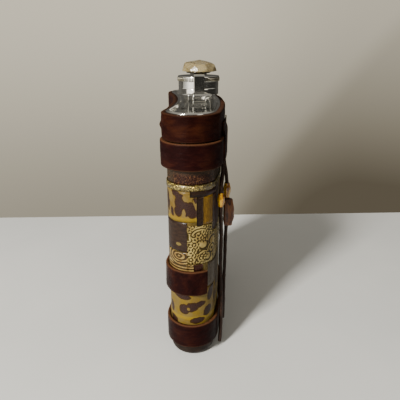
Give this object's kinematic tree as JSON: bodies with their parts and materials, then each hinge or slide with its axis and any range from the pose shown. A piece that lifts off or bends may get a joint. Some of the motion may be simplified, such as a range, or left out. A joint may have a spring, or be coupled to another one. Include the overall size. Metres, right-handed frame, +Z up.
{
  "type": "hip flask",
  "caption": "Kidney-section steel hip flask with a hinged captive screw cap, pasted papers, leather bands, hanging beaded thongs and a stone on the cap.",
  "frame": {"origin": "on the flat base, straight below the neck's axis", "axes": "+Z up along the neck, X across the wide faces with the cap's hinge on -X, -Y out of the convex face"},
  "size_m": [0.1, 0.0349, 0.1357],
  "materials": {
    "steel": "satin stainless steel",
    "polished_steel": "mirror polished with fine rubbing marks",
    "gasket_rubber": "matt black",
    "dried_glue": "dark, glossy, uneven",
    "pale_stone": "cream quartz, broken faces, waxy gloss",
    "red_leather": "glossy mahogany leather with worn tan edges",
    "dark_leather": "glossy oxblood leather with paler cut edges",
    "thong_leather": "dark brown lace, dull",
    "umber_paper": "dark brown paper under varnish",
    "giraffe_paper": "cream to olive ground with brown patches under varnish",
    "olive_paper": "olive gold paper under varnish",
    "script_paper": "dark red paper with a fine scrolled pattern under varnish",
    "mustard_paper": "mustard gold paper under varnish",
    "plum_paper": "dark plum paper under varnish",
    "dusk_paper": "dark grey brown paper under varnish",
    "maze_paper": "gold paper with a winding line pattern under varnish",
    "ring_paper": "tan paper with nested rings under varnish",
    "grey_paper": "grey paper with a soft sheen",
    "glitter_paper": "gold glitter border strip",
    "amber": "clear amber, polished",
    "brown_stone": "red brown chunk, worn"
  },
  "bodies": {
    "flask": {"body_wall": "steel", "top_plate": "polished_steel", "base_plate": "steel", "neck_spout": "polished_steel", "hinge_bracket": "polished_steel", "collar_band": "red_leather", "top_band": "dark_leather", "middle_band": "dark_leather", "bottom_band": "dark_leather", "thong_keeper": "red_leather", "base_paper": "umber_paper", "giraffe_paper_lower": "giraffe_paper", "ground_paper": "olive_paper", "script_paper": "script_paper", "giraffe_paper_upper": "giraffe_paper", "mustard_paper": "mustard_paper", "plum_paper": "plum_paper", "dusk_paper": "dusk_paper", "maze_paper": "maze_paper", "ring_paper": "ring_paper", "square_paper": "umber_paper", "grey_paper": "grey_paper", "tee_paper": "umber_paper", "glitter_strip": "glitter_paper", "thong_outer": "thong_leather", "thong_inner": "thong_leather", "amber_bead_outer": "amber", "amber_bead_inner": "amber", "brown_chunk": "brown_stone"},
    "pin": {"hinge_pin": "polished_steel"},
    "arm": {"captive_arm": "polished_steel", "swivel_rivet": "steel", "stone_glue": "dried_glue", "top_stone": "pale_stone"},
    "cap": {"swivel_washer": "steel", "cap_shell": "polished_steel", "cap_liner": "steel", "cap_gasket": "gasket_rubber"}
  },
  "joints": [
    {"name": "arm_swing", "type": "hinge", "parent": "flask", "child": "pin", "pos_m": [-0.01135, 0, 0.1198], "axis": [0, -1, 0], "range_deg": [0, 100]},
    {"name": "arm_lift", "type": "slide", "parent": "pin", "child": "arm", "axis": [0, 0, 1], "range_m": [0, 0.0016]},
    {"name": "cap_turn", "type": "hinge", "parent": "arm", "child": "cap", "pos_m": [0, 0, 0.125], "axis": [0, 0, 1], "range_deg": [0, 360]}
  ],
  "couplings": [
    {"joint": "arm_lift", "follows": "cap_turn", "m_per_rad": 0.000254}
  ]
}
